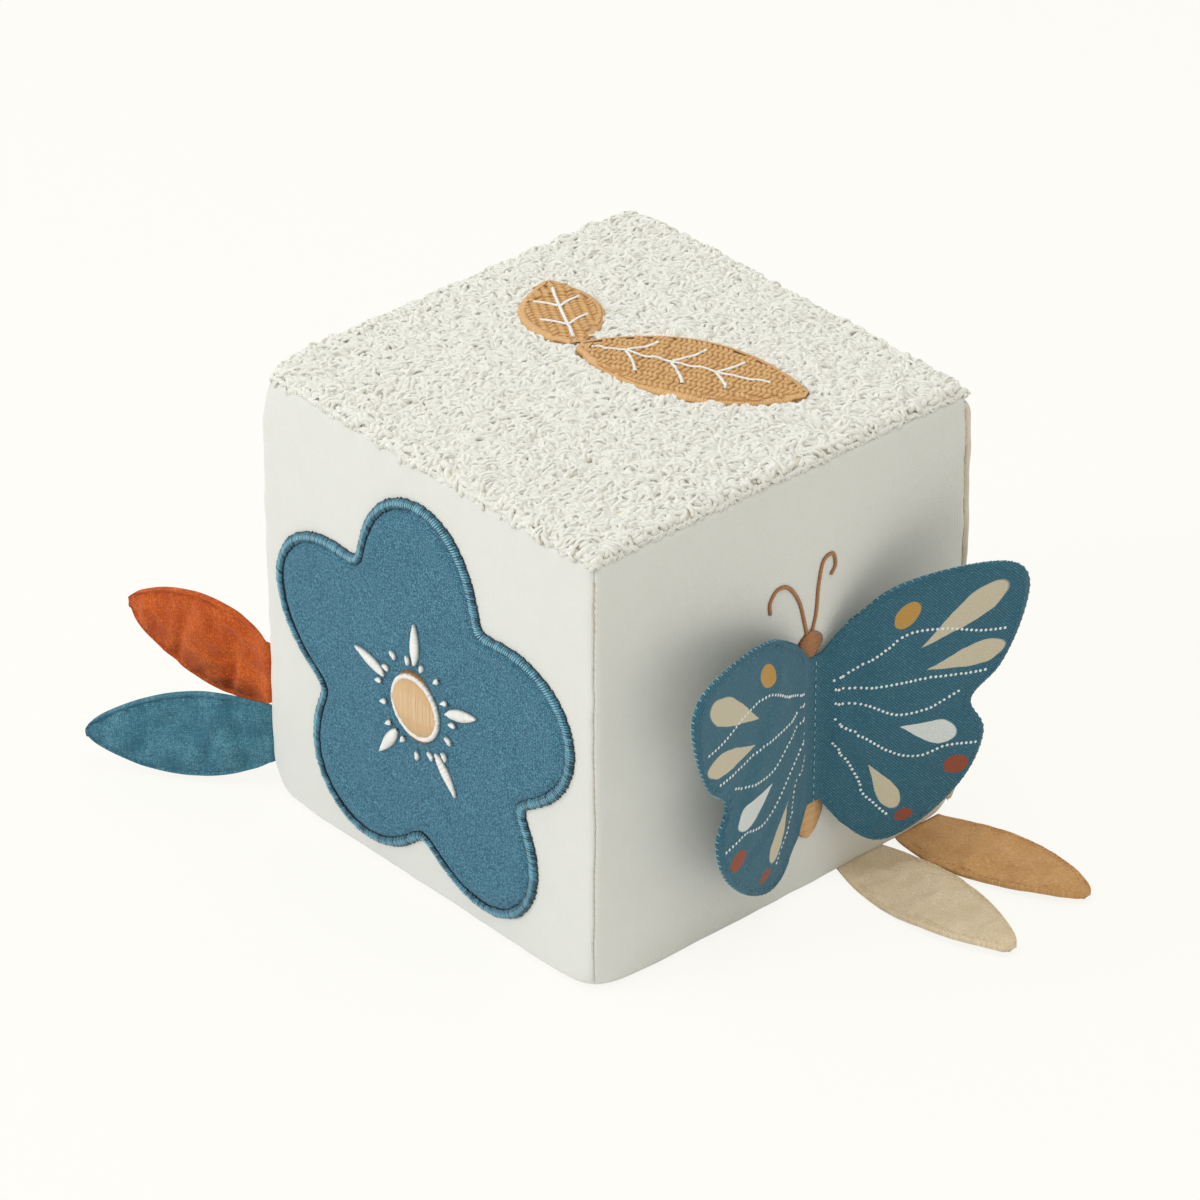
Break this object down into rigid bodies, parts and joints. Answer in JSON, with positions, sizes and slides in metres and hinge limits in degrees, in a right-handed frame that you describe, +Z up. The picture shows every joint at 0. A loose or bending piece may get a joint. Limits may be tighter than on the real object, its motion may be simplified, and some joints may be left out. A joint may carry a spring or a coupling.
{
  "type": "soft activity block",
  "caption": "Soft fabric activity cube with a terry top, a flower patch, a flapping cloth butterfly and sewn-in leaf tags, with a rattle in its foam.",
  "frame": {"origin": "middle of the flat base of the block, on the surface it stands on", "axes": "+Z up, -Y towards the flower patch, +X towards the butterfly"},
  "size_m": [0.2703, 0.1872, 0.1565],
  "materials": {
    "natural_cotton": "fine plain weave",
    "terry": "cut and looped pile",
    "foam": "open-cell foam",
    "capsule_plastic": "smooth moulded",
    "bead_plastic": "smooth moulded",
    "blue_cotton": "plain weave",
    "blue_satin": "satin stitch",
    "tan_corduroy": "fine cord",
    "tan_cotton": "plain weave",
    "blue_twill": "printed twill",
    "crinkle_film": "thin clear film",
    "rust_cotton": "plain weave",
    "cream_cotton": "plain weave"
  },
  "bodies": {
    "block": {"panel_front": "natural_cotton", "panel_back": "natural_cotton", "panel_left": "natural_cotton", "panel_right": "natural_cotton", "panel_base": "natural_cotton", "terry_top": "terry", "foam_lower": "foam", "foam_upper": "foam", "rattle_cup": "capsule_plastic", "rattle_lid": "capsule_plastic", "flower_patch": "blue_cotton", "flower_satin_edge": "blue_satin", "flower_eye": "tan_cotton", "corduroy_leaf_large": "tan_corduroy", "corduroy_leaf_small": "tan_corduroy", "wing_stitch_strip": "blue_twill", "blue_leaf_tab": "blue_cotton", "rust_leaf_tab": "rust_cotton", "tan_leaf_tab": "tan_cotton", "cream_leaf_tab": "cream_cotton"},
    "right_wing": {"right_wing_front_cloth": "blue_twill", "right_wing_crinkle_film": "crinkle_film", "right_wing_back_cloth": "blue_twill"},
    "left_wing": {"left_wing_front_cloth": "blue_twill", "left_wing_crinkle_film": "crinkle_film", "left_wing_back_cloth": "blue_twill"},
    "blue_leaf": {"blue_leaf_front": "blue_cotton", "blue_leaf_back": "blue_cotton"},
    "rust_leaf": {"rust_leaf_front": "rust_cotton", "rust_leaf_back": "rust_cotton"},
    "tan_leaf": {"tan_leaf_front": "tan_cotton", "tan_leaf_back": "tan_cotton"},
    "cream_leaf": {"cream_leaf_front": "cream_cotton", "cream_leaf_back": "cream_cotton"},
    "bead_1": {"rattle_bead_1": "bead_plastic"},
    "bead_2": {"rattle_bead_2": "bead_plastic"},
    "bead_3": {"rattle_bead_3": "bead_plastic"}
  },
  "joints": [
    {"name": "right_wing_fold", "type": "hinge", "parent": "block", "child": "right_wing", "pos_m": [0.0788, 0.0115, 0.0165], "axis": [0, 0, -1], "range_deg": [-22, 61], "stiffness_Nm_per_rad": 0.002},
    {"name": "left_wing_fold", "type": "hinge", "parent": "block", "child": "left_wing", "pos_m": [0.0788, 0.0065, 0.0165], "axis": [0, 0, 1], "range_deg": [-14, 69], "stiffness_Nm_per_rad": 0.002},
    {"name": "blue_leaf_bend", "type": "hinge", "parent": "block", "child": "blue_leaf", "pos_m": [-0.07535, -0.07535, 0.019], "axis": [0, 0, 1], "range_deg": [-100, 126], "stiffness_Nm_per_rad": 0.001},
    {"name": "rust_leaf_bend", "type": "hinge", "parent": "block", "child": "rust_leaf", "pos_m": [-0.07535, -0.07535, 0.0455], "axis": [0, 0, 1], "range_deg": [-78, 148], "stiffness_Nm_per_rad": 0.001},
    {"name": "tan_leaf_bend", "type": "hinge", "parent": "block", "child": "tan_leaf", "pos_m": [0.076, 0.0595, 0.00105], "axis": [0, -1, 0], "range_deg": [0, 80], "stiffness_Nm_per_rad": 0.001},
    {"name": "cream_leaf_bend", "type": "hinge", "parent": "block", "child": "cream_leaf", "pos_m": [0.076, 0.034, 0.00105], "axis": [0, -1, 0], "range_deg": [0, 40], "stiffness_Nm_per_rad": 0.001},
    {"name": "bead_1_shake", "type": "slide", "parent": "block", "child": "bead_1", "axis": [0, 0, 1], "range_m": [0, 0.009]},
    {"name": "bead_2_shake", "type": "slide", "parent": "block", "child": "bead_2", "axis": [0, 0, 1], "range_m": [0, 0.009]},
    {"name": "bead_3_shake", "type": "slide", "parent": "block", "child": "bead_3", "axis": [0, 0, 1], "range_m": [0, 0.009]}
  ]
}
